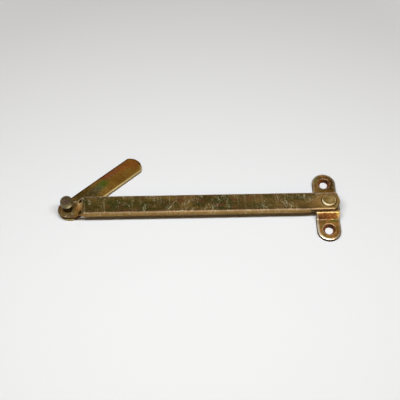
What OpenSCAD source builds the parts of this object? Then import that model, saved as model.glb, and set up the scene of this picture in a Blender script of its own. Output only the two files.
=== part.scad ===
// Friction stay for a casement window. A pressed channel arm turns on a frame bracket
// under a sprung friction rivet. Its other end is stepped down to a round tab that holds
// a headed stud, and a flat short arm folds on that stud.
// Origin: midway between the screw holes, on the bracket's underside. The arm lies along
// -X, the bracket along Y, and +Z is up. Lengths are in millimetres.

/* [Frame bracket] */
// Distance between the two screw holes
hole_spacing = 33; // [30:0.5:50]
// Diameter of each screw hole
hole_d = 4.6; // [3.5:0.1:5.2]
// Diameter of the countersink at the surface
countersink_d = 7.8; // [6.5:0.1:8.2]
// Metal from the screw hole's centre to the round end of a foot
foot_margin = 7.5; // [7:0.1:12]
// Width of the bracket
bracket_w = 14; // [12:0.1:14.5]
// Thickness of the bracket's sheet
bracket_t = 2; // [1.8:0.1:2.5]
// Clear height under the raised bridge
bridge_rise = 3.8; // [3.4:0.1:6]
// Length of the flat on top of the bridge
bridge_flat = 12; // [11:0.5:14]
// Angle of the risers that join bridge and feet
riser_angle = 64; // [50:1:75]
// Inner radius of the bracket's bends
bracket_bend_r = 0.6; // [0.3:0.1:0.8]

/* [Bracket pivot] */
// Distance of the rivet's axis from the line of the screw holes
pivot_offset = 0.8; // [0:0.1:1.5]
// Diameter of the rivet's shank
rivet_d = 5; // [4:0.1:5.5]
// Diameter of the rivet's head
rivet_head_d = 8.4; // [7.6:0.1:10]
// Height of the rivet's head
rivet_head_h = 1.1; // [0.9:0.1:2]
// Bevel round the top of the rivet's head
rivet_head_bevel = 0.6; // [0.2:0.1:0.7]
// Diameter of the peened tail
rivet_tail_d = 7; // [6.6:0.1:7.8]
// Height of the peened tail
rivet_tail_h = 0.8; // [0.5:0.1:0.9]
// Diameter of the friction washer
friction_washer_d = 11; // [9:0.5:11]
// Thickness of the friction washer
friction_washer_t = 0.5; // [0.3:0.1:1]
// Diameter of the disc spring
spring_d = 10; // [9:0.5:11]
// Thickness of the disc spring's plate
spring_t = 0.5; // [0.4:0.1:0.6]
// Height of the disc spring's cone, over its thickness
spring_cone = 0.3; // [0.2:0.1:0.4]
// Diameter of the backing washer
backing_d = 9; // [8.5:0.5:10]
// Thickness of the backing washer
backing_t = 0.8; // [0.5:0.1:1]

/* [Channel arm] */
// Distance from the rivet's axis to the stud's axis
pivot_span = 155; // [120:0.1:220]
// Width of the arm
arm_w = 13.6; // [12.2:0.1:13.8]
// Thickness of the arm's sheet
arm_t = 1.6; // [1.2:0.1:1.8]
// Depth of the channel, from the top of the web to the flange edges
channel_h = 3; // [2.6:0.1:4]
// Outer radius of the channel's two long bends
channel_bend_r = 1.8; // [1.8:0.1:2.4]
// Radius of the tab's end
tab_end_r = 7; // [7:0.1:9]
// Distance from the rivet's axis back to the centre of the tab's end
tab_end_back = 0.4; // [0:0.1:2]
// Width of the stepped tab
tab_w = 12; // [11:0.1:12.2]
// Distance from the stud's axis to the foot of the step
step_start = 5; // [4.2:0.1:8]
// Angle of the step
step_angle = 46; // [35:1:60]
// Inner radius of the step's bends
step_bend_r = 0.6; // [0.3:0.1:1]
// Diameter of the two relief holes in the step
relief_d = 2; // [1:0.1:2.2]
// Distance of the relief holes from the top of the step
relief_back = 2.2; // [1.2:0.1:2.6]
// Distance of the relief holes from the inner faces of the flanges
relief_clear = 0.2; // [0.1:0.1:0.5]

/* [Stud] */
// Diameter of the stud's head
stud_head_d = 7.8; // [7.2:0.1:10]
// Diameter of the flat on top of the head
stud_top_d = 6.8; // [5:0.1:7]
// Height of the stud's head
stud_head_h = 3.2; // [3:0.1:5]
// Height of the head's tapered part
stud_taper_h = 1.7; // [0.5:0.1:2]
// Diameter of the stud's neck
neck_d = 5.4; // [5.2:0.1:5.7]
// Length of the neck between the arm and the head
neck_l = 5.6; // [4:0.1:10]
// Diameter of the shank through both arms
shank_d = 4.6; // [4:0.1:5]
// Diameter of the peened tail under the short arm
stud_tail_d = 6.8; // [6:0.1:8]
// Height of the peened tail
stud_tail_h = 0.7; // [0.4:0.1:0.8]
// Diameter of the washer between the two arms
stud_washer_d = 11; // [9:0.5:11.5]
// Thickness of the washer between the two arms
stud_washer_t = 0.3; // [0.2:0.1:1]

/* [Short arm] */
// Length from the stud's axis to the tip
short_l = 55.2; // [40:0.1:100]
// Length from the stud's axis to the end behind it
short_back = 5.3; // [4.4:0.1:8]
// Width of the short arm
short_w = 13.1; // [12:0.1:14]
// Thickness of the short arm
short_t = 2; // [1.6:0.1:2.1]
// Radius of the arc at each end
tip_r = 7.4; // [7.2:0.1:12]
// Angle from the channel arm to the short arm
short_angle = 41.5; // [0:0.5:180]

/* [Fits] */
// Radial clearance of a pivot in its hole
pivot_clear = 0.05; // [0.02:0.01:0.1]
// Radial clearance of a riveted shank or a loose washer
seat_clear = 0.1; // [0.05:0.01:0.2]
// Gap between the flange ends and the bracket as the arm swings
swing_clear = 0.4; // [0.3:0.1:1]
// Gap around and under the tail that turns in the short arm
recess_clear = 0.3; // [0.2:0.05:0.4]
// Bevel on the edges of rivet and stud
edge_bevel = 0.3; // [0.1:0.05:0.4]

/* [Hidden] */
$fn = 96;
eps = 0.5;
lap = 0.6;

// Heights, from the frame's surface up
bridge_top = bridge_rise + bracket_t;
web_z = bridge_top + friction_washer_t;
web_top = web_z + arm_t;
flange_z = web_top - channel_h;
spring_h = spring_t + spring_cone;
backing_z = bridge_rise - spring_h - backing_t;
tab_z = short_t + stud_washer_t;
tab_top = tab_z + arm_t;
recess_h = stud_tail_h + recess_clear;

// Run of a step of the given rise, from the end of the low flat to the start of the high one
function slope_l(rise, t, r, a) = (rise - (2 * r + t) * (1 - cos(a))) / sin(a);
function step_run(rise, t, r, a) = (2 * r + t) * sin(a) + slope_l(rise, t, r, a) * cos(a);

riser_run = step_run(bridge_rise, bracket_t, bracket_bend_r, riser_angle);
bracket_l = hole_spacing + 2 * foot_margin;
stud_x = pivot_offset - pivot_span;
step_x = stud_x + step_start;
web_x = step_x + step_run(web_z - tab_z, arm_t, step_bend_r, step_angle);
side_y = arm_w / 2;
tab_end_x = pivot_offset - tab_end_back;

// The flanges stop where they swing clear of the bracket's corner at their own height
bracket_outer_r = bracket_bend_r + bracket_t;
riser_y = bridge_flat / 2 + bracket_outer_r * sin(riser_angle)
    + (bridge_rise - bracket_bend_r + bracket_outer_r * cos(riser_angle) - flange_z) / tan(riser_angle);
corner_r = norm([bracket_w / 2 + pivot_offset, riser_y]);
flange_start = sqrt((corner_r + swing_clear) ^ 2 - (side_y - arm_t) ^ 2);
flange_x = pivot_offset - flange_start;

// Points along an arc
function arc(centre, r, from, to, n = 8) =
    [for (i = [0:n]) let (a = from + (to - from) * i / n) centre + r * [cos(a), sin(a)]];
function backwards(path) = [for (i = [len(path) - 1:-1:0]) path[i]];
function mirrored(path) = [for (p = backwards(path)) [-p[0], p[1]]];

// Lower and upper side of a sheet that rises by one step as it runs to the right
function step_under(step_at, rise, t, r, a) = concat(
    arc([step_at, t + r], r + t, -90, a - 90),
    arc([step_at + step_run(rise, t, r, a), rise - r], r, 90 + a, 90));
function step_over(step_at, rise, t, r, a) = concat(
    arc([step_at, t + r], r, -90, a - 90),
    arc([step_at + step_run(rise, t, r, a), rise - r], r + t, 90 + a, 90));

// Solid of revolution about Z from a list of [radius, height] pairs
module turned(profile) {
    rotate_extrude() polygon(profile);
}

module washer(outer_d, inner_d, t) {
    difference() {
        cylinder(d = outer_d, h = t);
        translate([0, 0, -eps]) cylinder(d = inner_d, h = t + 2 * eps);
    }
}

// Pressed steel hat: two round feet and a raised bridge between them
module frame_bracket() {
    foot_y = bracket_l / 2 - bracket_w / 2;
    sink_h = (countersink_d - hole_d) / 2;
    step_at = -bridge_flat / 2 - riser_run;
    under = step_under(step_at, bridge_rise, bracket_t, bracket_bend_r, riser_angle);
    over = step_over(step_at, bridge_rise, bracket_t, bracket_bend_r, riser_angle);
    color("goldenrod") difference() {
        intersection() {
            rotate([90, 0, 90]) linear_extrude(bracket_w, center = true)
                polygon(concat([[-bracket_l / 2, 0]], under, mirrored(under),
                               [[bracket_l / 2, 0], [bracket_l / 2, bracket_t]],
                               backwards(mirrored(over)), backwards(over), [[-bracket_l / 2, bracket_t]]));
            linear_extrude(bridge_top + eps) {
                square([bracket_w, 2 * foot_y], center = true);
                for (side = [-1, 1]) translate([0, side * foot_y]) circle(d = bracket_w);
            }
        }
        translate([pivot_offset, 0, bridge_rise - eps])
            cylinder(d = rivet_d + 2 * seat_clear, h = bracket_t + 2 * eps);
        for (side = [-1, 1]) translate([0, side * hole_spacing / 2, 0]) {
            translate([0, 0, -eps]) cylinder(d = hole_d, h = bracket_t + 2 * eps);
            translate([0, 0, bracket_t - sink_h])
                cylinder(d1 = hole_d, d2 = countersink_d + 2 * eps, h = sink_h + eps);
        }
    }
}

// Flat-headed rivet, peened under the bridge over the spring and its washer
module bracket_rivet() {
    tail_z = backing_z - rivet_tail_h;
    head_r = rivet_head_d / 2;
    head_z = web_top + rivet_head_h;
    color("khaki") translate([pivot_offset, 0, 0]) turned([
        [0, tail_z], [rivet_tail_d / 2 - edge_bevel, tail_z], [rivet_tail_d / 2, tail_z + edge_bevel],
        [rivet_tail_d / 2, backing_z], [rivet_d / 2, backing_z], [rivet_d / 2, web_top],
        [head_r, web_top], [head_r, head_z - rivet_head_bevel], [head_r - rivet_head_bevel, head_z], [0, head_z]]);
}

// Friction washer between the bridge and the arm
module friction_washer() {
    color("dimgray") translate([pivot_offset, 0, bridge_top])
        washer(friction_washer_d, rivet_d + 2 * seat_clear, friction_washer_t);
}

// Disc spring that keeps the pivot stack tight, with its rim against the bridge
module disc_spring() {
    inner_r = rivet_d / 2 + seat_clear;
    color("slategray") translate([pivot_offset, 0, bridge_rise - spring_h]) turned([
        [inner_r, 0], [spring_d / 2, spring_cone], [spring_d / 2, spring_h], [inner_r, spring_t]]);
}

// Steel washer that the rivet is peened against
module backing_washer() {
    color("silver") translate([pivot_offset, 0, backing_z])
        washer(backing_d, rivet_d + 2 * seat_clear, backing_t);
}

// Cross-section of the channel: web, two bends and two flanges
module channel_section() {
    centre = [-side_y + channel_bend_r, web_top - channel_bend_r];
    outside = concat([[-side_y, flange_z]], arc(centre, channel_bend_r, 180, 90));
    inside = concat([[-side_y + arm_t, flange_z]], arc(centre, channel_bend_r - arm_t, 180, 90));
    polygon(concat(outside, mirrored(outside), backwards(mirrored(inside)), backwards(inside)));
}

// Outline that rounds the shoulders of the step as it runs into the channel
module shoulder_section() {
    shoulder_r = channel_bend_r + arm_t / 4;
    shoulder = arc([-side_y + shoulder_r, web_top - shoulder_r], shoulder_r, 180, 90);
    polygon(concat([[-side_y, 0]], shoulder, mirrored(shoulder), [[side_y, 0]]));
}

// Pressed channel with a flat tab over the bracket and a stepped tab under the stud
module channel_arm() {
    mid_r = step_bend_r + arm_t / 2;
    fade_l = mid_r * sin(step_angle) + arm_t * cos(step_angle) / 2;
    fade_z = web_z + arm_t / 2 - mid_r * (1 - cos(step_angle)) - arm_t * sin(step_angle) / 2;
    tab_y = tab_w / 2;
    fade_t = tab_y - side_y + arm_t;
    relief_y = side_y - arm_t - relief_d / 2 - relief_clear;
    lap_x = web_x + lap;
    end_x = tab_end_x + tab_end_r;
    color("darkkhaki") difference() {
        union() {
            // Channel, and the tab over the bracket that is left where its flanges are cut off
            difference() {
                translate([web_x, 0, 0]) rotate([90, 0, 90]) linear_extrude(end_x - web_x) channel_section();
                translate([flange_x, -arm_w, 0]) cube([end_x - flange_x + eps, 2 * arm_w, web_z]);
                translate([tab_end_x, 0, web_z - eps]) linear_extrude(arm_t + 2 * eps) difference() {
                    translate([0, -arm_w]) square([tab_end_r + eps, 2 * arm_w]);
                    circle(tab_end_r);
                }
            }
            // Step and round tab under the stud
            intersection() {
                translate([0, 0, tab_z]) rotate([90, 0, 0]) linear_extrude(tab_w, center = true)
                    polygon(concat([[stud_x - tab_y, 0]],
                                   step_under(step_x, web_z - tab_z, arm_t, step_bend_r, step_angle),
                                   [[lap_x, web_z - tab_z], [lap_x, web_top - tab_z]],
                                   backwards(step_over(step_x, web_z - tab_z, arm_t, step_bend_r, step_angle)),
                                   [[stud_x - tab_y, arm_t]]));
                linear_extrude(web_top + eps) {
                    translate([stud_x, 0]) circle(tab_y);
                    translate([stud_x, -tab_y]) square([lap_x + eps - stud_x, tab_w]);
                }
                translate([stud_x - arm_w, 0, 0]) rotate([90, 0, 90])
                    linear_extrude(lap_x + eps - stud_x + arm_w) shoulder_section();
            }
            // Flanges fading out along the step
            for (side = [-1, 1]) translate([0, side * (tab_y - fade_t / 2), 0]) rotate([90, 0, 0])
                linear_extrude(fade_t, center = true)
                    polygon([[lap_x, flange_z], [lap_x, web_z + arm_t / 2], [web_x, web_z + arm_t / 2],
                             [web_x - fade_l, fade_z], [web_x, flange_z]]);
        }
        translate([pivot_offset, 0, web_z - eps])
            cylinder(d = rivet_d + 2 * pivot_clear, h = arm_t + 2 * eps);
        translate([stud_x, 0, tab_z - eps]) cylinder(d = shank_d + 2 * seat_clear, h = arm_t + 2 * eps);
        for (side = [-1, 1]) translate([web_x - relief_back, side * relief_y, tab_z - eps])
            cylinder(d = relief_d, h = web_top - tab_z + 2 * eps);
    }
}

// Headed stud: its shoulder sits on the tab and its tail is peened in the short arm's recess
module pivot_stud() {
    head_z = tab_top + neck_l;
    top_z = head_z + stud_head_h;
    head_r = stud_head_d / 2;
    tail_z = recess_h - stud_tail_h;
    color("tan") translate([stud_x, 0, 0]) turned([
        [0, tail_z], [stud_tail_d / 2 - edge_bevel, tail_z], [stud_tail_d / 2, tail_z + edge_bevel],
        [stud_tail_d / 2, recess_h], [shank_d / 2, recess_h], [shank_d / 2, tab_top],
        [neck_d / 2, tab_top], [neck_d / 2, head_z], [head_r - edge_bevel, head_z],
        [head_r, head_z + edge_bevel], [head_r, top_z - stud_taper_h], [stud_top_d / 2, top_z], [0, top_z]]);
}

// Washer between the stepped tab and the short arm
module stud_washer() {
    color("dimgray") translate([stud_x, 0, short_t])
        washer(stud_washer_d, shank_d + 2 * seat_clear, stud_washer_t);
}

// Flat strip, struck to an arc at both ends
module short_arm() {
    half_w = short_w / 2;
    tip_x = short_l - tip_r;
    back_x = tip_r - short_back;
    color("peru") translate([stud_x, 0, 0]) rotate(short_angle) difference() {
        linear_extrude(short_t) intersection() {
            translate([-short_back, -half_w]) square([short_l + short_back, short_w]);
            union() {
                for (x = [back_x, tip_x]) translate([x, 0]) circle(tip_r);
                translate([back_x, -short_w]) square([tip_x - back_x, 2 * short_w]);
            }
        }
        translate([0, 0, -eps]) cylinder(d = shank_d + 2 * pivot_clear, h = short_t + 2 * eps);
        translate([0, 0, -eps]) cylinder(d = stud_tail_d + 2 * recess_clear, h = recess_h + eps);
    }
}

frame_bracket();
bracket_rivet();
friction_washer();
disc_spring();
backing_washer();
channel_arm();
pivot_stud();
stud_washer();
short_arm();
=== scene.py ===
# Friction stay for a casement window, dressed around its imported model. Sizes are in
# millimetres, and every mesh is put down in metres in the model's own frame.
import math

import bmesh
import bpy
import numpy as np
from mathutils import Matrix


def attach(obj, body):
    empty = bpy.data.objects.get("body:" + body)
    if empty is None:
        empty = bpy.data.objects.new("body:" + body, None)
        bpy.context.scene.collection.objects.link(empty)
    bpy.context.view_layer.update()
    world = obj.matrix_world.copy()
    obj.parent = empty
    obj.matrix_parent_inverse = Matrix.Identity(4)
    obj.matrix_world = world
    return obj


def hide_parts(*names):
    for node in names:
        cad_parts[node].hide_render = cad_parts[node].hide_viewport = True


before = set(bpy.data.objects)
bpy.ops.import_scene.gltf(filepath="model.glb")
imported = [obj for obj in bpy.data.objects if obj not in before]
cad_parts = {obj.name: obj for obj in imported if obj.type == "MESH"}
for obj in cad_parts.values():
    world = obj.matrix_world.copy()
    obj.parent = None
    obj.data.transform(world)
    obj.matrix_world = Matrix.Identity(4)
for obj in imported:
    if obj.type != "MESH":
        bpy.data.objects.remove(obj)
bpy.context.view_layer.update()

# Frame bracket: a hat pressed from 2 mm steel strip, zinc plated and yellow passivated.
# Its two round feet take countersunk screws, and the rivet sits in the raised bridge.
MM = 0.001


def arc(centre, radius, start, end, count):
    """Points and outward normals on an arc: centre + radius * (cos, sin) of even angles, which
    are given in degrees."""
    angle = np.radians(np.linspace(start, end, count))
    normal = np.stack([np.cos(angle), np.sin(angle)], -1)
    return np.asarray(centre) + radius * normal, normal


def straight(start, end, steps):
    """Points from start to end, with normals to the right of the way walked. Steps is a count of
    even points, or the shares of the way at which the points lie."""
    start, end = np.asarray(start, float), np.asarray(end, float)
    way = (end - start) / np.linalg.norm(end - start)
    share = np.linspace(0, 1, steps) if np.isscalar(steps) else np.ravel(steps)
    points = start + (end - start) * share[:, None]
    return points, np.tile([way[1], -way[0]], (len(share), 1))


def joined(*runs):
    """One outline from several runs of points and normals, walked anticlockwise."""
    return tuple(np.concatenate(part) for part in zip(*runs))


def mirrored(half):
    """Places on both sides of 0, from the half that starts at 0."""
    half = np.asarray(half, float)
    return np.concatenate([-half[:0:-1], half])


def rolled_edge(sheet_t, reach, drop, low_r):
    """Reach and height down a punched edge: a quarter ellipse at the top, a straight wall, a
    small quarter round at the bottom, and a row just inside it that keeps the lower face flat.
    It starts and ends on the outline's flat faces."""
    turn = np.radians(np.linspace(0, 90, 9))
    half = sheet_t / 2
    top = np.stack([reach * np.sin(turn), half - drop * (1 - np.cos(turn))], -1)
    low = np.stack([reach - low_r * (1 - np.cos(turn)), low_r * (1 - np.sin(turn)) - half], -1)
    inside = reach - low_r - 0.04
    return np.concatenate([top, low, [[inside, -half], [0, -half]]])


def rim(edge, profile):
    """Grid of a sheet's edge: outline point + normal * reach, at the profile's height."""
    points, normals = edge
    flat = points[None] + profile[:, None, :1] * normals[None]
    height = np.broadcast_to(profile[:, None, 1:], flat.shape[:2] + (1,))
    return np.concatenate([flat, height], -1)


def at_height(flat, height):
    """Plan grid lifted to one height."""
    return np.concatenate([flat, np.full(flat.shape[:-1] + (1,), height)], -1)


# Rows from a hole to the outline round it, closer together toward the outline.
RING_ROWS = np.array([0, 0.03, 0.2, 0.4, 0.55, 0.62, 0.68, 0.74, 0.8, 0.86, 0.91, 0.95, 0.98, 1])


def spokes(points, centre, oval):
    """Steps from a hole's centre to its wall, for a radius of 1, toward each point of an outline.
    An oval hole is a round one drawn out along its first axis."""
    away = (points - centre) / [oval, 1]
    return away / np.linalg.norm(away, axis=-1, keepdims=True) * [oval, 1]


def ring(points, centre, radius, height, oval=1.0):
    """Grid from a hole to the outline round it: hole + (outline - hole) * row."""
    hole = centre + radius * spokes(points, centre, oval)
    return at_height(hole + (points - hole) * RING_ROWS[:, None, None], height)


def bore(points, centre, profile, oval=1.0):
    """Grid of a hole's wall: the profile's radius along each spoke, at the profile's height."""
    flat = centre + profile[:, None, :1] * spokes(points, centre, oval)[None]
    height = np.broadcast_to(profile[:, None, 1:], flat.shape[:2] + (1,))
    return np.concatenate([flat, height], -1)


LINE_SAMPLES = 6001


def centre_line(length, knots, slopes, start):
    """Place and slope of a bent sheet's middle at a developed length. The slope runs straight
    between knots, and the place is the running integral of its cosine and sine."""
    fine = np.linspace(knots[0], knots[-1], LINE_SAMPLES)
    slope = np.interp(fine, knots, np.radians(slopes))
    step = fine[1] - fine[0]
    middle = (slope[1:] + slope[:-1]) / 2
    along = start[0] + np.concatenate([[0], np.cumsum(np.cos(middle))]) * step
    up = start[1] + np.concatenate([[0], np.cumsum(np.sin(middle))]) * step
    return tuple(np.interp(length, fine, run) for run in (along, up, slope))


def grid_quads(rows, cols, left_out=None):
    """Corner numbers of the quads between a grid's points, without the quads that are left out."""
    row, col = np.meshgrid(np.arange(rows - 1), np.arange(cols - 1), indexing="ij")
    first = row * cols + col
    quads = np.stack([first, first + 1, first + cols + 1, first + cols], -1)
    return quads.reshape(-1, 4) if left_out is None else quads[~left_out]


def in_scene(name, data):
    """A new object that holds the data, in the scene."""
    made = bpy.data.objects.new(name, data)
    bpy.context.scene.collection.objects.link(made)
    return made


# Points that are this close are joined, and edges that are this short go, in metres.
WELD, SLIVER = 2e-6, 1e-7


def closed_piece(name, grids):
    """One closed mesh from grids of points. Each grid comes with the shares per point that the
    finish reads: edge for painted highlights on rims, folds and hole lips, the cut share for
    sheared sides and for painted shade, and pit for recesses. It may also come with quads to leave
    out."""
    points, quads, start = [], [], 0
    shares = {"edge": [], "cut": [], "pit": []}
    for spots, given, *left_out in grids:
        rows, cols = spots.shape[:2]
        points.append(spots.reshape(-1, 3))
        quads.append(grid_quads(rows, cols, *left_out) + start)
        for label, share in shares.items():
            share.append(np.broadcast_to(given.get(label, 0.0), (rows, cols)).ravel())
        start += rows * cols
    mesh = bpy.data.meshes.new(name)
    mesh.from_pydata((np.concatenate(points) * MM).tolist(), [], np.concatenate(quads).tolist())
    for label, share in shares.items():
        values = mesh.attributes.new(label, "FLOAT", "POINT").data
        values.foreach_set("value", np.concatenate(share))
    work = bmesh.new()
    work.from_mesh(mesh)
    bmesh.ops.remove_doubles(work, verts=work.verts, dist=WELD)
    bmesh.ops.dissolve_degenerate(work, edges=work.edges, dist=SLIVER)
    bmesh.ops.recalc_face_normals(work, faces=work.faces)
    work.to_mesh(mesh)
    work.free()
    mesh.polygons.foreach_set("use_smooth", np.ones(len(mesh.polygons), bool))
    return in_scene(name, mesh)


def double_bend(rise, turn, bend_r):
    """Lengths of a sheet's middle where it steps up by two bends of one radius: each bend, the
    straight between them, and the whole step in plan."""
    turn = math.radians(turn)
    straight_l = (rise - 2 * bend_r * (1 - math.cos(turn))) / math.sin(turn)
    return bend_r * turn, straight_l, 2 * bend_r * math.sin(turn) + straight_l * math.cos(turn)


BRACKET_T, BRACKET_W = 2.0, 14.0
BRACKET_EDGE, BRACKET_ROLL, LOW_EDGE_R = 1.6, 0.55, 0.2
FOOT_END, FOOT_HOLE, BRIDGE_FLAT = 24.0, 16.5, 6.0
BRIDGE_RISE, RISER_TURN, BRACKET_BEND_R = 3.8, 64.0, 1.6
bend_l, riser_l, riser_run = double_bend(BRIDGE_RISE, RISER_TURN, BRACKET_BEND_R)
foot_from = BRIDGE_FLAT + 2 * bend_l + riser_l
blank_shift = 2 * bend_l + riser_l - riser_run


def pressed_hat(blank):
    """Bends the flat blank: across stays, length goes along the centre line, and height goes
    along the sheet's normal there."""
    across, length, height = np.moveaxis(blank, -1, 0)
    bends = BRIDGE_FLAT + np.array([0, bend_l, bend_l + riser_l, 2 * bend_l + riser_l])
    half_knots = np.append(bends, FOOT_END + blank_shift)
    knots = np.concatenate([-half_knots[::-1], half_knots])
    half_slopes = np.array([0, RISER_TURN, RISER_TURN, 0, 0])
    y, z, slope = centre_line(length, knots, np.concatenate([half_slopes[::-1], -half_slopes]),
                              (-FOOT_END, BRACKET_T / 2))
    return np.stack([across, y - height * np.sin(slope), z + height * np.cos(slope)], -1)


flat_w = BRACKET_W / 2 - BRACKET_EDGE
foot_join = foot_from + 0.5
foot_arc = FOOT_END + blank_shift - BRACKET_W / 2
hole_at = FOOT_HOLE + blank_shift
BRIDGE_ROWS, FOOT_ROWS = 130, 12
bridge_x = mirrored([0, 0.35, 0.7, 0.94, 0.985, 1]) * flat_w
bridge_y = np.linspace(-foot_join, foot_join, BRIDGE_ROWS)

# Screw hole, in rows of radius and height: a rolled lip, the countersink, the eased corner of
# the bore, and the sheared edge underneath.
half = BRACKET_T / 2
LIP_R, SINK_LIP = 0.7, 4.2
lip = np.radians(np.linspace(0, 45, 6))
screw_hole = np.concatenate([
    np.stack([SINK_LIP - LIP_R * np.sin(lip), half - LIP_R * (1 - np.cos(lip))], -1),
    [[3.2, 0.28], [2.75, -0.17], [2.45, -0.44], [2.34, -0.58], [2.3, -0.7], [2.3, -0.86],
     [2.36, -0.96], [2.5, -half], [2.6, -half], [SINK_LIP, -half]]])
sink_edge = np.concatenate([[0, 0.4, 0.9, 0.4, 0.1, 0], np.zeros(10)])[:, None]
sink_pit = np.concatenate([[0, 0, 0.2, 0.5, 0.8, 0.9], np.ones(6), [1, 1, 1, 0]])[:, None]

foot = joined(straight((flat_w, foot_join), (flat_w, foot_arc), FOOT_ROWS),
              arc((0, foot_arc), flat_w, 0, 180, 49),
              straight((-flat_w, foot_arc), (-flat_w, foot_join), FOOT_ROWS))
bridge = np.stack(np.meshgrid(bridge_x, bridge_y), -1)
foot_ring = np.concatenate([foot[0], bridge[-1]])
feet = [(side * foot_ring, np.array([0, side * hole_at])) for side in (1, -1)]
around = joined(foot, straight((-flat_w, foot_join), (-flat_w, -foot_join), BRIDGE_ROWS),
                tuple(-part for part in foot),
                straight((flat_w, -foot_join), (flat_w, foot_join), BRIDGE_ROWS))
bracket_edge = rolled_edge(BRACKET_T, BRACKET_EDGE, BRACKET_ROLL, LOW_EDGE_R)

# Shares down a rim: its upper round carries the painted highlight, and the wall below is
# sheared, which on the arms is also darkened as painted shade.
rim_shares = {"edge": np.array([0, 0.4, 0.9, 1, 1, 1, 0.7, 0.2, 0] + [0] * 11)[:, None],
              "cut": np.array([0] * 5 + [0.1, 0.5, 0.9, 1] + [1] * 8 + [0.6, 0, 0])[:, None]}
grids = [(pressed_hat(rim(around, bracket_edge)), rim_shares)]
for height in (half, -half):
    grids.append((pressed_hat(at_height(bridge, height)), {}))
    for points, centre in feet:
        grids.append((pressed_hat(ring(points, centre, SINK_LIP, height)), {}))
for points, centre in feet:
    grids.append((pressed_hat(bore(points, centre, screw_hole)),
                  {"edge": sink_edge, "pit": sink_pit}))
bracket = closed_piece("bracket_hat", grids)


class Tone:
    """A socket in a material's node tree. Sums on values add Math nodes, and node() adds any
    other node."""

    def __init__(self, tree, socket=None):
        self.tree, self.socket = tree, socket

    def node(self, kind, settings=None, inputs=None, out=0):
        """The chosen output of a new node, which gets its settings first, then the values or
        links of its sockets."""
        made = self.tree.nodes.new("ShaderNode" + kind)
        for key, value in (settings or {}).items():
            setattr(made, key, value)
        for key, value in (inputs or {}).items():
            if isinstance(value, Tone):
                self.tree.links.new(value.socket, made.inputs[key])
            else:
                made.inputs[key].default_value = value
        return Tone(self.tree, made.outputs[out] if len(made.outputs) else None)

    def sum_of(self, operation, first, second):
        """A Math node on two values."""
        return self.node("Math", {"operation": operation}, {0: first, 1: second})

    def __add__(self, other):
        return self.sum_of("ADD", self, other)

    def __sub__(self, other):
        return self.sum_of("SUBTRACT", self, other)

    def __rsub__(self, other):
        return self.sum_of("SUBTRACT", other, self)

    def __mul__(self, other):
        return self.sum_of("MULTIPLY", self, other)

    __radd__, __rmul__ = __add__, __mul__


def tint(red, green, blue):
    """A colour given as it looks on screen, 0 to 255, in the linear values that sockets take."""
    share = np.array([red, green, blue]) / 255
    line = np.where(share <= 0.04045, share / 12.92, ((share + 0.055) / 1.055) ** 2.4)
    return (*line.tolist(), 1.0)


def ramped(value, low, high):
    """0 below low, 1 above high, eased between; low may be the larger."""
    return value.node("MapRange", {"interpolation_type": "SMOOTHSTEP"},
                      {"Value": value, "From Min": low, "From Max": high})


def blended(share, first, second):
    """Colour that goes from first to second as the share goes from 0 to 1."""
    return share.node("Mix", {"data_type": "RGBA"}, {0: share, 6: first, 7: second}, 2)


def cloud(place, scale, detail, rough, shift=(0, 0, 0), drawn=(1, 1, 1), turn=0.0):
    """Noise in blotches: scale per metre, drawn out along axes that are turned about Z."""
    moved = place.node("Mapping", {"vector_type": "TEXTURE"}, {
        "Vector": place, "Location": shift, "Scale": drawn, "Rotation": (0, 0, math.radians(turn))})
    return place.node("TexNoise", None, {"Vector": moved, "Scale": scale, "Detail": detail,
                                         "Roughness": rough})


def patch(place, centre, radii):
    """Share that is 1 in the middle of an ellipsoid and fades to 0 at its skin. Sizes are in mm."""
    middle, reach = ([size * MM for size in sizes] for sizes in (centre, radii))
    off = place.node("VectorMath", {"operation": "SUBTRACT"}, {0: place, 1: middle})
    off = place.node("VectorMath", {"operation": "DIVIDE"}, {0: off, 1: reach})
    return ramped(place.node("VectorMath", {"operation": "LENGTH"}, {0: off}, 1), 1.0, 0.15)


def stained(place, colour, *stains):
    """Colour with stains laid over it in turn. Each is a patch's centre and radii, the most that
    it covers, and its own colour."""
    for centre, radii, most, stain in stains:
        colour = blended(patch(place, centre, radii) * most, colour, stain)
    return colour


def roughness(film, least, spread):
    """Roughness that goes from the least to the least + spread with the film."""
    return ramped(film, 0.2, 0.8) * spread + least


def finish_tree(name):
    """A new material with an empty tree, and its place on the piece in metres."""
    material = bpy.data.materials.new(name)
    material.use_nodes = True
    material.node_tree.nodes.clear()
    return material, Tone(material.node_tree).node("TexCoord", None, None, 3)


def share_of(place, label):
    """A share that the mesh carries for each point."""
    return place.node("Attribute", {"attribute_name": label}, None, 2)


GRAIN_DEPTH = 0.02


def plated(place, colour, rough, grain, metal=0.6, coat=0.2, dull_and_shade=0.0):
    """Ends a finish as plated metal under a thin film: colour and roughness over the surface, and
    grain as a bump. The last share is the part of the surface that is matt and dark: sheared
    sides, and painted shade in holes, in gaps under parts and on sides turned from the light."""
    bump = place.node("Bump", None, {
        "Height": grain, "Strength": 0.35, "Distance": GRAIN_DEPTH * MM})
    metal_shader = place.node("BsdfPrincipled", None, {
        "Base Color": colour, "Roughness": rough, "Metallic": metal, "Normal": bump,
        "Coat Weight": coat, "Coat Roughness": 0.2})
    dull_and_shade_shader = place.node("BsdfDiffuse", None, {"Color": tint(34, 20, 10)})
    shader = place.node("MixShader", None, {0: dull_and_shade, 1: metal_shader, 2: dull_and_shade_shader})
    place.node("OutputMaterial", None, {"Surface": shader})


def dressed(piece, material, node, body):
    """Gives a piece its finish, and puts it in the place of a node of the model."""
    piece.data.materials.append(material)
    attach(piece, body)
    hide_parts(node)


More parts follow.
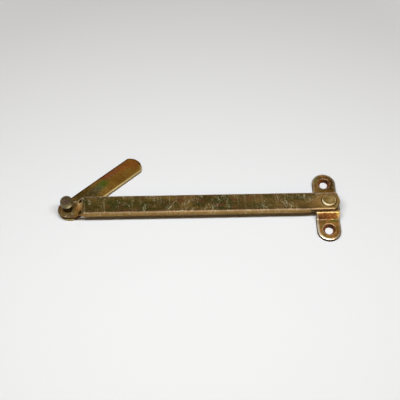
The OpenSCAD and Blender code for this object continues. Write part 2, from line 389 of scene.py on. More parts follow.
material, place = finish_tree("bracket_gold_passivate")
film = cloud(place, 210, 4.0, 0.6)
fine = cloud(place, 900, 3.0, 0.6)
olive = ramped(cloud(place, 170, 3.0, 0.6, (0.3, 0.1, 0)), 0.50, 0.60)
pits, walls_and_shade = share_of(place, "pit"), share_of(place, "cut")
colour = blended(ramped(film, 0.40, 0.60), tint(116, 76, 28), tint(162, 116, 56))
colour = stained(place, colour, ((-1, -18, 2), (11, 12, 4), 0.9, tint(228, 160, 74)))
colour = blended(olive * 0.6, colour, tint(112, 96, 40))

# Browns and a pale spot on the far foot, and orange risers. The near riser has painted shade
# at its left end, a painted glint at its right end, painted highlights along its top bend and
# the left of its foot bend, and a green cast at the right of its foot bend.
colour = stained(place, colour,
                 ((5, 16, 2), (6, 10, 4), 0.9, tint(80, 56, 12)),
                 ((2, 10.5, 2.4), (6, 1.8, 2), 0.6, tint(160, 108, 26)),
                 ((-5.5, 20, 2), (4, 5, 3), 0.6, tint(152, 148, 88)),
                 ((0, -8.4, 3.5), (12, 2.7, 3.2), 1.0, tint(160, 88, 0)),
                 ((-6, -8.8, 2.9), (10, 2.4, 2.8), 0.9, tint(96, 50, 0)),
                 ((6.9, -7.6, 4.6), (3.2, 3, 3.6), 0.9, tint(255, 206, 84)),
                 ((0, 8, 3.9), (12, 2.9, 3.6), 1.0, tint(184, 100, 12)),
                 ((-1, -6.4, 5.6), (11, 1.0, 0.9), 0.7, tint(158, 136, 88)),
                 ((-4, -10.2, 2.1), (6, 0.9, 0.8), 0.6, tint(190, 158, 128)),
                 ((3.6, -10.6, 2), (5, 1.6, 1.3), 0.9, tint(112, 124, 52)))
colour = blended(ramped(fine, 0.53, 0.66) * 0.6, colour, tint(206, 164, 96))
colour = blended(ramped(fine, 0.47, 0.34) * 0.6, colour, tint(72, 46, 12))

# Countersinks are brown, darkest on their far sides, and the near foot is specked.
colour = blended(pits * 0.95, colour, tint(128, 70, 10))
for side in (1, -1):
    far_wall = patch(place, (1.4, side * FOOT_HOLE + 2.4, 1.2), (4.6, 3.6, 2.6)) * pits
    colour = blended(far_wall * 0.95, colour, tint(54, 24, 0))
specks = ramped(cloud(place, 1100, 2.0, 0.6, (0.4, 0, 0)), 0.52, 0.62)
colour = blended(specks * patch(place, (4.5, -19, 2), (6, 8, 3)) * 0.8, colour, tint(92, 58, 16))

# Rims and the countersinks' lips get a painted highlight, strongest on the near foot, and the
# sheared sides are matt and streaked.
painted_highlight_strength = patch(place, (-6, -20, 1.5), (11, 14, 4)) * 1.1 + 0.2
colour = blended(share_of(place, "edge") * painted_highlight_strength, colour, tint(250, 240, 208))
shear = ramped(cloud(place, 1500, 2.0, 0.5, (0, 0, 0), (1, 1, 20)), 0.45, 0.68)
colour = blended(walls_and_shade * 0.9, colour, tint(70, 48, 18))
plated(place, colour, roughness(film, 0.26, 0.14), fine, dull_and_shade=walls_and_shade * (0.75 - shear * 0.65))
dressed(bracket, material, "frame_bracket", "bracket")

# Backing washer: a plain zinc ring under the bridge. The rivet's tail is peened against it.
# It is a turned ring with eased corners, threaded on the rivet.


def eased(profile, reach, count=5):
    """Profile with its inner corners eased: each corner is the quadratic curve that leaves one
    side at the reach from the corner and meets the other side as far on."""
    corner = np.asarray(profile, float)
    before, after = corner[:-2] - corner[1:-1], corner[2:] - corner[1:-1]
    before_l, after_l = (np.linalg.norm(way, axis=-1, keepdims=True) for way in (before, after))
    room = np.minimum(reach, 0.45 * np.minimum(before_l, after_l))
    begin, end = corner[1:-1] + before / before_l * room, corner[1:-1] + after / after_l * room
    share = np.linspace(0, 1, count)[None, :, None]
    curve = (begin[:, None] * (1 - share) ** 2 + 2 * corner[1:-1, None] * share * (1 - share)
             + end[:, None] * share ** 2)
    return np.concatenate([corner[:1], curve.reshape(-1, 2), corner[-1:]])


TURNED_SIDES = 96


def turned(profile, axis):
    """Grid of a turned piece: each profile radius swept round the axis at its height."""
    angle = np.linspace(0, 2 * np.pi, TURNED_SIDES + 1)
    x = axis[0] + profile[:, :1] * np.cos(angle)
    y = axis[1] + profile[:, :1] * np.sin(angle)
    return np.stack([x, y, np.broadcast_to(profile[:, 1:], x.shape)], -1)


def turned_piece(name, profile, axis):
    """A closed piece that is one turned profile."""
    return closed_piece(name, [(turned(profile, axis), {})])


WASHER_EASE = 0.12


def punched_ring(inner_r, outer_r, low, high, dish=0.0):
    """Closed profile of a washer, from the middle of its underside and back; dish lifts its
    outer side."""
    underside = [(inner_r + outer_r) / 2, low + dish / 2]
    corners = [underside, [outer_r, low + dish], [outer_r, high + dish], [inner_r, high],
               [inner_r, low], underside]
    return eased(corners, WASHER_EASE)


RIVET_AXIS, WASHER_BORE_R = (0.8, 0.0), 2.62
BACKING_R, BACKING_LOW, BACKING_TOP = 4.5, 2.2, 2.99
backing_profile = punched_ring(WASHER_BORE_R, BACKING_R, BACKING_LOW, BACKING_TOP)
backing = turned_piece("backing_ring", backing_profile, RIVET_AXIS)
material, place = finish_tree("plain_zinc")
film = cloud(place, 500, 4.0, 0.6)
colour = blended(ramped(film, 0.35, 0.7), tint(150, 146, 132), tint(186, 182, 168))
plated(place, colour, roughness(film, 0.3, 0.2), film)
dressed(backing, material, "backing_washer", "bracket")

# Disc spring: a blackened, slightly conical ring that keeps the pivot tight from under the
# bridge. Its rim presses on the bridge, and its middle on the backing washer.
SPRING_R, SPRING_LOW, SPRING_TOP, SPRING_DISH = 5.0, 3.0, 3.49, 0.3
spring_profile = punched_ring(WASHER_BORE_R, SPRING_R, SPRING_LOW, SPRING_TOP, SPRING_DISH)
spring = turned_piece("spring_ring", spring_profile, RIVET_AXIS)
material, place = finish_tree("blackened_spring_steel")
film = cloud(place, 600, 4.0, 0.6)
colour = blended(ramped(film, 0.35, 0.7), tint(58, 58, 60), tint(92, 92, 94))
plated(place, colour, roughness(film, 0.4, 0.2), film)
dressed(spring, material, "disc_spring", "bracket")

# Friction washer: a ring of dark fibre, threaded on the rivet between the bridge and the arm.
# It only shows as a black line in the gap.
FRICTION_R, FRICTION_LOW, FRICTION_TOP = 5.5, 5.8, 6.28
friction_profile = punched_ring(WASHER_BORE_R, FRICTION_R, FRICTION_LOW, FRICTION_TOP)
friction = turned_piece("friction_ring", friction_profile, RIVET_AXIS)
fibre, place = finish_tree("dark_fibre")
film = cloud(place, 1500, 4.0, 0.7)
colour = blended(ramped(film, 0.35, 0.7), tint(30, 24, 20), tint(56, 46, 38))
plated(place, colour, roughness(film, 0.75, 0.15), film, metal=0.0, coat=0.0)
dressed(friction, fibre, "friction_washer", "bracket")

# Channel arm: 1.6 mm steel strip pressed to a shallow channel. A flat tab lies over the
# bracket, and the other end is stepped down to a round tab, with a relief hole each side.
ARM_T, ARM_EDGE_R = 1.6, 0.3
WEB_FLAT, FOLD_R, FLANGE_L = 5.0, 1.0, 1.2
ARM_TAB_Z, STEP_RISE, STEP_TURN, STEP_BEND_R = 3.1, 4.0, 46.0, 1.4
STUD_X, STEP_FOOT = -154.2, 5.0
step_bend, step_l, step_run = double_bend(STEP_RISE, STEP_TURN, STEP_BEND_R)
web_x = STUD_X + STEP_FOOT + step_run
step_from = web_x - 2 * step_bend - step_l
stud_at = step_from - STEP_FOOT
ROUND_TAB_R, END_TAB_R, END_BACK, END_TURN = 5.98, 6.99, 0.4, 83.6
flange_full = WEB_FLAT + FOLD_R * math.pi / 2 + FLANGE_L
end_tab_w = WEB_FLAT + FOLD_R * math.radians(END_TURN)
line_start, line_end = ROUND_TAB_R + 1, 20.0


def pressed_channel(blank):
    """Folds the flat blank: past the web's flat, the strip turns down round the fold radius until
    the fold's angle there, then runs on straight. The angle is 90 degrees along the channel and
    eases to 0 at the round tab. Length goes along the stepped centre line."""
    length, across, height = np.moveaxis(blank, -1, 0)
    fold = np.interp(length - web_x, [-3.4, -2.4, -0.6, 0.4], np.radians([0, 12, 74, 90]))
    over = np.maximum(np.abs(across) - WEB_FLAT, 0)
    turn = np.minimum(over / FOLD_R, fold)
    rest = np.maximum(over - FOLD_R * fold, 0)
    side = np.minimum(np.abs(across), WEB_FLAT) + FOLD_R * np.sin(turn) + rest * np.cos(fold)
    drop = FOLD_R * (1 - np.cos(turn)) + rest * np.sin(fold)
    knots = [stud_at - line_start, step_from, step_from + step_bend, web_x - step_bend, web_x,
             line_end]
    x, z, slope = centre_line(length, knots, [0, 0, STEP_TURN, STEP_TURN, 0, 0],
                              (STUD_X - line_start, ARM_TAB_Z))
    up = height * np.cos(turn) - drop
    return np.stack([x - up * np.sin(slope), np.sign(across) * (side + height * np.sin(turn)),
                     z + up * np.cos(slope)], -1)


def blank_half_w(length):
    """Half width of the flat blank's faces: the round tab's, then the flanges', which taper at
    both ends, then the end tab's."""
    lengths = [web_x - 3.2, web_x - 2.2, web_x - 0.9, web_x + 0.1, -12.4, -11.6, -10.3, -9.8]
    widths = [ROUND_TAB_R, ROUND_TAB_R + 0.2, flange_full - 0.3, flange_full,
              flange_full, flange_full - 0.4, end_tab_w + 0.35, end_tab_w]
    return np.interp(length, lengths, widths) - ARM_EDGE_R


# The channel's grid is closer at the step and where the flanges end, and across the folds.
tab_join, end_join = stud_at + 3.6, -3.4
arm_length = np.concatenate([
    np.linspace(tab_join, step_from - 0.05, 5), np.linspace(step_from, web_x + 0.8, 53),
    np.linspace(web_x + 1.6, -12, 150), np.linspace(-11.2, -9.4, 19),
    np.linspace(-9.1, end_join, 20)])
arm_lines = mirrored([0, 0.12, 0.24, 0.36, 0.46, 0.56, 0.585, 0.61, 0.64, 0.67, 0.70, 0.73, 0.76,
                      0.79, 0.82, 0.9, 0.97, 0.99, 1.0])
half_w = blank_half_w(arm_length)
channel = np.stack([np.broadcast_to(arm_length[:, None], (len(arm_length), len(arm_lines))),
                    half_w[:, None] * arm_lines], -1)

# Relief holes are round from above, so they are oval on the sloping blank. Each takes the place
# of a block of the channel's quads.
RELIEF_R, RELIEF_LIP, RELIEF_Y, RELIEF_BACK, RELIEF_ROOM = 1.2, 0.15, 4.0, 2.2, 1.5
relief_oval = 1 / math.cos(math.radians(STEP_TURN))
step_lengths = np.linspace(step_from, web_x, 400)
step_x = pressed_channel(np.outer(step_lengths, [1, 0, 0]))[:, 0]
relief_length = np.interp(web_x - RELIEF_BACK, step_x, step_lengths)
relief_room = np.array([-RELIEF_ROOM, RELIEF_ROOM])
row_a, row_b = np.searchsorted(arm_length, relief_length + relief_room * relief_oval)
block_sides = np.add.outer([-RELIEF_Y, RELIEF_Y], relief_room)
line_at = np.abs(channel[(row_a + row_b) // 2, :, 1] - block_sides[..., None]).argmin(-1)
holed = np.zeros((len(arm_length) - 1, len(arm_lines) - 1), bool)
relief_rings = []
for (line_a, line_b), side in zip(line_at, (-1, 1)):
    holed[row_a:row_b, line_a:line_b] = True
    block = channel[row_a:row_b + 1, line_a:line_b + 1]
    outline = np.concatenate([block[0, :-1], block[:-1, -1], block[-1, :0:-1], block[::-1, 0]])
    relief_rings.append((outline, np.array([relief_length, side * RELIEF_Y])))
half = ARM_T / 2
relief_lip_r = RELIEF_R + RELIEF_LIP
relief_wall = np.array([
    [relief_lip_r, half], [RELIEF_R + 0.1, half - 0.02], [RELIEF_R + 0.03, half - 0.08],
    [RELIEF_R, half - 0.2], [RELIEF_R, 0.1 - half], [RELIEF_R + 0.05, -half],
    [relief_lip_r, -half]])

# The end tab is round from above, and its arc runs out onto the folded sides, so its points
# there are unrolled round the fold.
tab_w = ROUND_TAB_R - ARM_EDGE_R
end_w, end_r = end_tab_w - ARM_EDGE_R, END_TAB_R - ARM_EDGE_R
fold_out = FOLD_R + ARM_T / 2
end_sweep = math.asin((WEB_FLAT + fold_out * math.sin((end_w - WEB_FLAT) / FOLD_R)) / end_r)
end_angle = np.linspace(-end_sweep, end_sweep, 61)
end_y = end_r * np.sin(end_angle)
end_fold = FOLD_R * np.arcsin(np.maximum(np.abs(end_y) - WEB_FLAT, 0) / fold_out)
end_points = np.stack([RIVET_AXIS[0] - END_BACK + end_r * np.cos(end_angle),
                       np.sign(end_y) * (np.minimum(np.abs(end_y), WEB_FLAT) + end_fold)], -1)
end_way = np.gradient(end_points, axis=0)
end_way /= np.linalg.norm(end_way, axis=-1, keepdims=True)
end_normals = np.stack([end_way[:, 1], -end_way[:, 0]], -1)
end_x = end_points[0, 0]
ROUND_ROWS, END_ROWS = 8, 14
round_tab = joined(straight((tab_join, tab_w), (stud_at, tab_w), ROUND_ROWS),
                   arc((stud_at, 0), tab_w, 90, 270, 61),
                   straight((stud_at, -tab_w), (tab_join, -tab_w), ROUND_ROWS))
end_tab = joined(straight((end_join, -end_w), (end_x, -end_w), END_ROWS),
                 (end_points, end_normals),
                 straight((end_x, end_w), (end_join, end_w), END_ROWS))


def side_run(length, side):
    """Long side of the blank, with the normal turned with the change of half width."""
    width = blank_half_w(length)
    lean = np.gradient(width, length)
    normal = np.stack([-lean, np.ones_like(lean)], -1) / np.sqrt(1 + lean ** 2)[:, None]
    points = np.stack([length, width], -1)
    flip = np.array([1, side])
    order = slice(None, None, -1 if side > 0 else 1)
    return (points * flip)[order], (normal * flip)[order]


around = joined(round_tab, side_run(arm_length, -1), end_tab, side_run(arm_length, 1),
                tuple(part[:1] for part in round_tab))
arm_edge = rolled_edge(ARM_T, ARM_EDGE_R, ARM_EDGE_R, LOW_EDGE_R)
round_ring = np.concatenate([round_tab[0], channel[0]])
end_ring = np.concatenate([end_tab[0], channel[-1, ::-1]])


def arm_shares(blank):
    """Edge and cut shares by the place on the blank: a painted highlight line along the fold's
    middle and a painted shadow band above the flange's end, both nearer to the web on the end tab."""
    length, past_web = blank[..., 0], np.abs(blank[..., 1]) - WEB_FLAT
    bar = np.interp(length, [web_x - 1, web_x + 1, -10.6, -9.8], [0, 1, 1, 0])
    tab = np.interp(length, [-10.6, -9.8], [0, 1])
    bar_highlight_line = np.interp(past_web, [0.35, 0.6, 0.75, 1.0], [0, 1, 1, 0])
    tab_highlight_line = np.interp(past_web, [0.2, 0.4, 0.5, 0.65], [0, 1, 1, 0])
    bar_shadow_band = np.interp(past_web, [1.7, 2.0], [0, 0.48])
    tab_shadow_band = np.interp(past_web, [0.55, 0.75], [0, 1])
    return {"edge": bar_highlight_line * bar + tab_highlight_line * tab, "cut": bar_shadow_band * bar + tab_shadow_band * tab}


RIVET_HOLE_R, STUD_HOLE_R = 2.6, 2.45
rivet_centre, stud_centre = np.array(RIVET_AXIS), np.array([stud_at, 0])
grids = [(pressed_channel(rim(around, arm_edge)),
          {"edge": rim_shares["edge"] * 0.1, "cut": rim_shares["cut"]})]
for height in (half, -half):
    end_grid = ring(end_ring, rivet_centre, RIVET_HOLE_R, height)
    round_grid = ring(round_ring, stud_centre, STUD_HOLE_R, height)
    grids.append((pressed_channel(at_height(channel, height)), arm_shares(channel), holed))
    grids.append((pressed_channel(end_grid), arm_shares(end_grid)))
    grids.append((pressed_channel(round_grid), {}))
    for points, centre in relief_rings:
        relief_grid = ring(points, centre, relief_lip_r, height, relief_oval)
        grids.append((pressed_channel(relief_grid), {}))
# The relief holes' lips get a painted glint, and the inside of each hole painted shade.
relief_shares = {"edge": np.array([0.6, 2, 2, 0.5, 0, 0, 0])[:, None],
                 "pit": np.array([0, 0, 0, 1, 1, 1, 0])[:, None]}
for points, centre in relief_rings:
    grids.append((pressed_channel(bore(points, centre, relief_wall, relief_oval)), relief_shares))
# The bores of the stud and rivet holes are painted dark as shade.
for points, centre, radius in ((round_ring, stud_centre, STUD_HOLE_R),
                               (end_ring, rivet_centre, RIVET_HOLE_R)):
    wall = np.array([[radius, half], [radius, -half]])
    grids.append((pressed_channel(bore(points, centre, wall)), {"pit": 1.0}))
arm = closed_piece("arm_channel", grids)


def coordinate(place, axis):
    """One coordinate of a place, by its letter."""
    return place.node("SeparateXYZ", None, {0: place}, axis)


def from_axis(place, axis):
    """Distance in plan from an upright axis, which is given in mm."""
    plan = place.node("VectorMath", {"operation": "MULTIPLY"}, {0: place, 1: (1, 1, 0)})
    centre = (axis[0] * MM, axis[1] * MM, 0)
    return place.node("VectorMath", {"operation": "DISTANCE"}, {0: plan, 1: centre}, 1)


def scratches(place, shift, turn):
    """Fine short marks: noise drawn out along one direction, of which only the peaks count."""
    return ramped(cloud(place, 1700, 1.0, 0.5, shift, (1, 7, 1), turn), 0.64, 0.71)


material, place = finish_tree("arm_olive_passivate")
film = cloud(place, 150, 4.0, 0.62, (0, 0, 0), (1.7, 1, 1))
fine = cloud(place, 1000, 3.0, 0.6)
green = ramped(cloud(place, 110, 3.0, 0.6, (0.2, 0.4, 0), (1.4, 1, 1)), 0.48, 0.56)
brown = ramped(cloud(place, 130, 3.0, 0.6, (0.7, 0.1, 0), (1.4, 1, 1)), 0.52, 0.62)
colour = blended(ramped(film, 0.42, 0.58), tint(86, 72, 26), tint(132, 104, 50))
colour = blended(green * 0.9, colour, tint(56, 64, 8))
colour = blended(brown * 0.8, colour, tint(116, 68, 38))
colour = stained(place, colour,
                 ((-124, 0, 7.9), (36, 12, 6), 0.35, tint(78, 76, 16)),
                 ((-32, 0, 7.9), (34, 12, 6), 0.4, tint(142, 116, 62)))

# The bar is browner along its sides, and its near flange is golden, a painted reflection of the
# lit table. Its two tabs are golden too, and its step is golden as a painted reflection. There is a
# painted orange glint at the round end and a painted glint by each relief hole.
across = coordinate(place, "Y")
raised = ramped(coordinate(place, "Z"), 3.95 * MM, 4.25 * MM)
colour = blended(ramped(across, 4.6 * MM, 6.0 * MM) * 0.7, colour, tint(122, 82, 36))
colour = blended(ramped(across, -3.8 * MM, -4.8 * MM) * 0.55, colour, tint(100, 62, 30))
colour = blended(ramped(across, -5.9 * MM, -6.6 * MM) * raised * 0.8, colour, tint(150, 112, 36))
colour = stained(place, colour,
                 ((0, 0, 7.9), (15, 10, 4), 0.9, tint(198, 152, 82)),
                 ((-147, 0, 5), (5, 9, 4), 0.9, tint(200, 142, 40)),
                 ((-156, -1, 3.9), (9, 9, 2), 0.8, tint(158, 124, 70)),
                 ((-159, 1.6, 3.9), (1.6, 2.4, 1.2), 0.6, tint(156, 88, 26)),
                 ((-147.7, RELIEF_Y - 1, 4.6), (1.3, 1.0, 1.3), 0.8, tint(240, 182, 74)),
                 ((-147.7, -RELIEF_Y - 1, 4.6), (1.3, 1.0, 1.3), 0.8, tint(240, 182, 74)))

# Wear: pale marks and spots that come in clusters, long streaks across, and a fine grain.
frost = ramped(cloud(place, 140, 3.0, 0.6, (0.5, 0.3, 0)), 0.46, 0.62)
marks = (scratches(place, (0, 0, 0), 8) + scratches(place, (0.3, 0.2, 0), -28)
         + scratches(place, (0.7, 0.5, 0), 40))
spots = ramped(cloud(place, 1900, 1.0, 0.5, (0.2, 0.6, 0)), 0.60, 0.68)
wear_and_highlight = ramped(marks + spots * 0.6, 0.05, 1.0) * frost
colour = blended(wear_and_highlight * 0.9, colour, tint(216, 206, 164))
streaks = ramped(cloud(place, 760, 0.0, 0.5, (0.1, 0.9, 0), (1, 12, 1), 5), 0.67, 0.76)
colour = blended(streaks * 0.4, colour, tint(180, 168, 120))
colour = blended(ramped(fine, 0.54, 0.66) * 0.4, colour, tint(172, 152, 100))
colour = blended(ramped(fine, 0.46, 0.34) * 0.55, colour, tint(52, 44, 10))

# Painted shade sits round the rivet's head, and the folds get a painted highlight, stronger
# toward the bracket.
rivet_ring_shade = ramped(from_axis(place, RIVET_AXIS), 5.0 * MM, 4.5 * MM)
colour = blended(rivet_ring_shade * 0.8, colour, tint(52, 36, 14))
painted_highlight_strength = ramped(coordinate(place, "X"), -0.14, -0.06) * 0.2 + 0.2
pits, walls_and_shade = share_of(place, "pit"), share_of(place, "cut")
colour = blended(share_of(place, "edge") * painted_highlight_strength, colour, tint(196, 164, 122))
# Painted shade: the flange's lower band, the end tab's shoulder, the rims' sheared sides and the
# inside of the holes go dark.
colour = blended(walls_and_shade * 0.9, colour, tint(104, 64, 8))
rough = roughness(film, 0.3, 0.12) + ramped(across, -4.8 * MM, -5.4 * MM) * 0.16
plated(place, colour, rough, fine, dull_and_shade=ramped(pits + walls_and_shade, 0, 1) * 0.93)
dressed(arm, material, "channel_arm", "arm")

# Bracket rivet: a steel rivet with a low, bevelled head, peened under the bridge. The head's
# face is slightly sunk inside a narrow land.
HEAD_EASE = 0.25
rivet_head = [[0, 8.9], [2.7, 8.9], [3.05, 9.0], [3.6, 9.0], [4.2, 8.4], [4.2, 7.9]]
rivet_shank = [[2.5, 7.9], [2.5, 2.2]]
rivet_tail = [[3.5, 2.2], [3.5, 1.4], [0, 1.4]]
rivet_profile = eased(rivet_head + rivet_shank + rivet_tail, HEAD_EASE)
rivet = turned_piece("rivet_body", rivet_profile, RIVET_AXIS)
material, place = finish_tree("rivet_olive_passivate")
film = cloud(place, 300, 4.0, 0.6)
fine = cloud(place, 1200, 3.0, 0.6)
colour = blended(ramped(film, 0.38, 0.62), tint(160, 128, 66), tint(204, 172, 108))
marks = scratches(place, (0.1, 0, 0), 60) + scratches(place, (0.5, 0, 0), -25)
colour = blended(ramped(marks, 0.05, 1.0) * 0.6, colour, tint(216, 200, 150))
off_axis = from_axis(place, RIVET_AXIS)
groove = ramped(off_axis, 2.6 * MM, 2.85 * MM) * ramped(off_axis, 3.3 * MM, 3.05 * MM)
colour = blended(groove * 0.6, colour, tint(84, 66, 28))
# A painted highlight on the head's bevel, brightest toward the near left.
wear_and_highlight = patch(place, (-2.0, -2.8, 8.7), (5.5, 4.5, 3)) * 0.95 + 0.05
colour = blended(ramped(off_axis, 3.4 * MM, 3.65 * MM) * wear_and_highlight, colour, tint(252, 240, 196))
plated(place, colour, roughness(film, 0.26, 0.12), fine)
dressed(rivet, material, "bracket_rivet", "bracket")

# Stud washer: a thin ring of the same fibre as the friction washer. It is threaded on the
# stud's shank between the round tab and the short arm.
STUD_AXIS = (STUD_X, 0.0)
STUD_RING_BORE_R, STUD_RING_R, STUD_RING_LOW, STUD_RING_TOP = 2.42, 5.5, 2.02, 2.29
ring_profile = punched_ring(STUD_RING_BORE_R, STUD_RING_R, STUD_RING_LOW, STUD_RING_TOP)
stud_ring = turned_piece("stud_ring", ring_profile, STUD_AXIS)
dressed(stud_ring, fibre, "stud_washer", "arm")

# Short arm: a flat 2 mm steel strip with an arc struck at each end. It turns on the stud's
# shank, and its underside is counterbored for the peened tail.
SHORT_T, SHORT_W, SHORT_L, SHORT_BACK = 2.0, 13.1, 55.2, 5.3
SHORT_END_R, SHORT_EDGE_R, SHORT_TURN = 7.4, 0.45, 41.5
SHORT_JOIN, TIP_JOIN = 6.4, 46.0
short_w, short_r = SHORT_W / 2 - SHORT_EDGE_R, SHORT_END_R - SHORT_EDGE_R
back_centre, tip_centre = SHORT_END_R - SHORT_BACK, SHORT_L - SHORT_END_R
corner_turn = math.degrees(math.asin(short_w / short_r))
corner_x = short_r * math.cos(math.radians(corner_turn))


def laid_out(blank):
    """Turns the strip to its angle about the stud and lays it on the frame's plane."""
    angle = math.radians(SHORT_TURN)
    along, across, height = np.moveaxis(blank, -1, 0)
    return np.stack([STUD_X + along * math.cos(angle) - across * math.sin(angle),
                     along * math.sin(angle) + across * math.cos(angle), height + SHORT_T / 2], -1)


STRIP_ROWS, BACK_ROWS = 40, 12
short_lines = mirrored([0, 0.3, 0.6, 0.88, 0.92, 0.95, 0.98, 1.0]) * short_w
line_edge = np.interp(np.abs(short_lines) / short_w, [0.88, 0.95], [0, 1])
strip_length = np.linspace(SHORT_JOIN, TIP_JOIN, STRIP_ROWS)
strip = np.stack(np.meshgrid(strip_length, short_lines, indexing="ij"), -1)
tip_end = tip_centre + np.sqrt(short_r ** 2 - short_lines ** 2)
tip_rows = np.array([0, 0.25, 0.5, 0.75, 0.9, 0.96, 1.0])[:, None]
tip_x = TIP_JOIN + (tip_end - TIP_JOIN) * tip_rows
tip = np.stack([tip_x, np.broadcast_to(short_lines, tip_x.shape)], -1)
tip_edge = np.maximum(line_edge, np.interp(tip_rows, [0.9, 0.96], [0, 1]))
tip_angle = np.arcsin(short_lines / short_r)
tip_arc = (np.stack([tip_end, short_lines], -1),
           np.stack([np.cos(tip_angle), np.sin(tip_angle)], -1))
back_corner, tip_corner = back_centre - corner_x, tip_centre + corner_x
back = joined(straight((SHORT_JOIN, short_w), (back_corner, short_w), BACK_ROWS),
              arc((back_centre, 0), short_r, 180 - corner_turn, 180 + corner_turn, 41),
              straight((back_corner, -short_w), (SHORT_JOIN, -short_w), BACK_ROWS))
back_ring = np.concatenate([back[0], strip[0]])
around = joined(back, straight((SHORT_JOIN, -short_w), (TIP_JOIN, -short_w), STRIP_ROWS),
                straight((TIP_JOIN, -short_w), (tip_corner, -short_w), tip_rows), tip_arc,
                straight((tip_corner, short_w), (TIP_JOIN, short_w), 1 - tip_rows[::-1]),
                straight((TIP_JOIN, short_w), (SHORT_JOIN, short_w), STRIP_ROWS),
                tuple(part[:1] for part in back))
short_edge = rolled_edge(SHORT_T, SHORT_EDGE_R, SHORT_EDGE_R, LOW_EDGE_R)

# Hole for the shank above, and the counterbore for the tail below, in rows of radius and height.
SHANK_HOLE_R, TAIL_SINK_R = 2.4, 3.75
half = SHORT_T / 2
stud_hole = np.array([
    [SHANK_HOLE_R, half], [SHANK_HOLE_R, 0.05], [SHANK_HOLE_R, 0], [SHANK_HOLE_R + 0.05, 0],
    [TAIL_SINK_R - 0.05, 0], [TAIL_SINK_R - 0.05, 0.1 - half], [TAIL_SINK_R, -half]])
grids = [(laid_out(rim(around, short_edge)), rim_shares)]
pivot = np.array([0.0, 0.0])
for height, hole_r in ((half, SHANK_HOLE_R), (-half, TAIL_SINK_R)):
    grids += [(laid_out(at_height(strip, height)), {"edge": line_edge}),
              (laid_out(at_height(tip, height)), {"edge": tip_edge}),
              (laid_out(ring(back_ring, pivot, hole_r, height)), {})]
grids.append((laid_out(bore(back_ring, pivot, stud_hole)), {"pit": 1.0}))
short_arm = closed_piece("short_strip", grids)

material, place = finish_tree("short_arm_iridescent_passivate")
local = place.node("Mapping", {"vector_type": "TEXTURE"}, {
    "Vector": place, "Location": (STUD_X * MM, 0, 0), "Rotation": (0, 0, math.radians(SHORT_TURN))})
film = cloud(local, 130, 3.0, 0.55)
fine = cloud(local, 900, 3.0, 0.6)
colour = blended(ramped(film, 0.36, 0.64), tint(146, 104, 36), tint(168, 126, 48))

# Rusty toward the tip, with a rose cast along the far side, then green, grey and dark olive
# toward the stud. The scratches are round the grey.
colour = stained(local, colour,
                 ((47.5, 1.5, 2), (12, 7, 4), 0.5, tint(190, 96, 34)),
                 ((35, 5, 2), (15, 4, 4), 0.6, tint(164, 80, 62)),
                 ((45, -1, 2), (7, 3.4, 4), 0.7, tint(148, 122, 44)),
                 ((27.4, 1.6, 2), (6.6, 4.6, 4), 0.9, tint(88, 118, 32)),
                 ((21.6, 0.6, 2), (6.6, 4.6, 4), 0.8, tint(106, 112, 82)),
                 ((12, 0, 2), (16, 13, 4), 0.9, tint(72, 62, 20)))
marks = scratches(local, (0, 0, 0), 82) + scratches(local, (0.4, 0.2, 0), 20)
wear_and_highlight = ramped(marks, 0.05, 1.0) * patch(local, (19, 0, 2), (12, 9, 4))
colour = blended(wear_and_highlight * 0.7, colour, tint(172, 170, 130))
colour = blended(ramped(fine, 0.54, 0.68) * 0.35, colour, tint(196, 160, 100))
colour = blended(ramped(fine, 0.46, 0.34) * 0.4, colour, tint(74, 46, 16))

# The near rim gets a painted highlight, and the far rim, the far sheared side and the stud's
# bore get painted shade. The sheared sides are darker, and the end under the stud is pale olive.
near = ramped(coordinate(local, "Y"), -1.5 * MM, -5.2 * MM)
rims, walls_and_shade = share_of(place, "edge"), share_of(place, "cut")
colour = blended(rims * near * 0.8, colour, tint(226, 206, 138))
colour = blended(walls_and_shade * 0.9, colour, tint(104, 78, 30))
colour = stained(local, colour, ((-3, -5, 1), (5, 4, 3), 0.9, tint(146, 132, 60)))
painted_shade_share = share_of(place, "pit") + (rims * 0.75 + walls_and_shade * 0.4) * (1.0 - near)
plated(place, colour, roughness(film, 0.28, 0.1), fine, dull_and_shade=ramped(painted_shade_share, 0, 1) * 0.9)
dressed(short_arm, material, "short_arm", "short_arm")

# Pivot stud: a turned and headed steel stud. Its shoulder sits on the round tab, the shank
# holds both arms, and the tail is peened inside the short arm's counterbore.
stud_head = [[0, 12.66], [2.9, 12.66], [3.2, 12.7], [3.4, 12.7], [3.9, 11.0], [3.9, 9.8],
             [3.6, 9.5]]
stud_neck = [[2.7, 9.5], [2.7, 3.9]]
stud_shank = [[2.3, 3.9], [2.3, 1.0]]
stud_tail = [[3.4, 1.0], [3.4, 0.3], [0, 0.3]]
stud_profile = eased(stud_head + stud_neck + stud_shank + stud_tail, HEAD_EASE)
stud = turned_piece("stud_body", stud_profile, STUD_AXIS)
material, place = finish_tree("stud_grey_passivate")
film = cloud(place, 320, 4.0, 0.6)
height = coordinate(place, "Z")
colour = blended(ramped(film, 0.38, 0.62), tint(86, 70, 36), tint(114, 98, 58))
colour = blended(ramped(height, 12.3 * MM, 12.6 * MM), colour, tint(106, 92, 60))
colour = stained(place, colour,
                 ((STUD_X - 0.4, -0.6, 12.7), (2.8, 2.6, 0.9), 0.8, tint(112, 82, 76)))
colour = blended(scratches(place, (0.2, 0, 0), 40) * 0.4, colour, tint(190, 178, 146))
# Painted shade on the left of the head's side, and a painted highlight on its lower right.
colour = stained(place, colour,
                 ((STUD_X - 3.4, -2.2, 10.6), (5, 3.6, 2.6), 0.9, tint(84, 68, 36)),
                 ((STUD_X + 2.2, -3.2, 10.6), (2.6, 2.4, 1.8), 0.7, tint(232, 220, 166)))
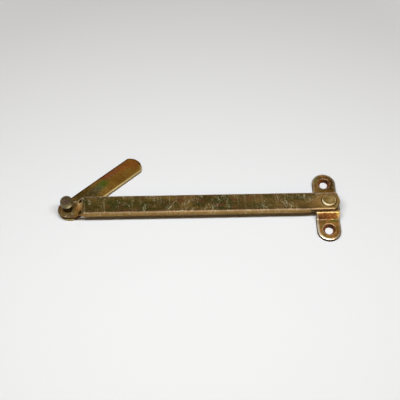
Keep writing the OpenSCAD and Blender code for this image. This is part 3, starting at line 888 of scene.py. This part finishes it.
# The neck under the head is painted dark as the head's shade, with faint turning lines in it.
lathe_lines = ramped(cloud(place, 1400, 2.0, 0.5, (0, 0, 0), (20, 20, 1)), 0.35, 0.65)
plated(place, colour, roughness(film, 0.28, 0.12), film,
       dull_and_shade=ramped(height, 9.8 * MM, 9.5 * MM) * (0.97 - lathe_lines * 0.14))
dressed(stud, material, "pivot_stud", "arm")

# Stage: a pale table top that curves up to a pale wall far off, under soft light from above,
# seen from the photo's angle. Past the object's surroundings the table keeps one pale tone.
STAGE_MIDDLE, STAGE_R, STAGE_WALL_H, STAGE_COVE = (-80.0, 0.0), 8000, 4000, 2000
stage_profile = eased([[0, 0], [STAGE_R, 0], [STAGE_R, STAGE_WALL_H]], STAGE_COVE, 12)
stage_grid = turned(stage_profile, STAGE_MIDDLE) * MM
stage_quads = grid_quads(*stage_grid.shape[:2])[:, ::-1]
stage_mesh = bpy.data.meshes.new("table")
stage_mesh.from_pydata(stage_grid.reshape(-1, 3).tolist(), [], stage_quads.tolist())
table = in_scene("table", stage_mesh)
material, place = finish_tree("pale_table")
camera_ray, glossy_ray, clear_ray = (
    place.node("LightPath", None, None, f"Is {kind} Ray")
    for kind in ("Camera", "Glossy", "Transmission"))
seen = ramped(camera_ray + glossy_ray + clear_ray, 0, 1)
far = ramped(from_axis(place, STAGE_MIDDLE), 0.19, 0.36)
lit = place.node("BsdfDiffuse", None, {"Color": (0.82, 0.82, 0.82, 1)})
pale = place.node("Emission", None, {"Color": (0.80, 0.80, 0.80, 1)})
shader = place.node("MixShader", None, {0: far * seen, 1: lit, 2: pale})
place.node("OutputMaterial", None, {"Surface": shader})
table.data.materials.append(material)

world = bpy.data.worlds.new("room")
bpy.context.scene.world = world
world.use_nodes = True
room_light = world.node_tree.nodes["Background"].inputs
room_light["Color"].default_value = (1.0, 0.66, 0.34, 1)
room_light["Strength"].default_value = 0.08


def placed(made, right, up, back, spot):
    """Stands a lamp or the camera at a spot in metres, by its own three directions."""
    stand = np.eye(4)
    stand[:3] = np.stack([right, up, back, spot], -1)
    made.matrix_world = Matrix(stand.tolist())


def soft_lamp(name, spot, size, watts, colour):
    """Oblong lamp at a spot, turned to face the middle of the stage."""
    lamp = bpy.data.lights.new(name, "AREA")
    lamp.shape, lamp.size, lamp.size_y = "RECTANGLE", *size
    lamp.energy, lamp.color = watts, colour
    back = np.array(spot) - np.array([*STAGE_MIDDLE, 0]) * MM
    back /= np.linalg.norm(back)
    right = np.cross([0, 1, 0.001], back)
    right /= np.linalg.norm(right)
    placed(in_scene(name, lamp), right, np.cross(back, right), back, spot)


soft_lamp("overhead", (-0.08, -0.10, 0.46), (0.6, 0.08), 2.87, (0.93, 0.965, 1.0))
soft_lamp("front_card", (-0.08, -0.81, 0.59), (1.2, 0.2), 0.72, (1.0, 0.64, 0.24))

# The camera's directions and spot were fitted to the part's straight edges and hole centres.
camera = bpy.data.cameras.new("camera")
camera.sensor_width, camera.lens, camera.clip_start = 36.0, 79.2, 0.01
shot = in_scene("camera", camera)
right = np.array([0.99974876, -0.02241459, 0])
up = np.array([0.01826822, 0.81480988, 0.57944036])
back = np.array([-0.01298792, -0.57929479, 0.81501464])
placed(shot, right, up, back, np.array([-82.393, -300.390, 433.390]) * MM)
bpy.context.scene.camera = shot
bpy.context.scene.view_settings.view_transform = "Standard"
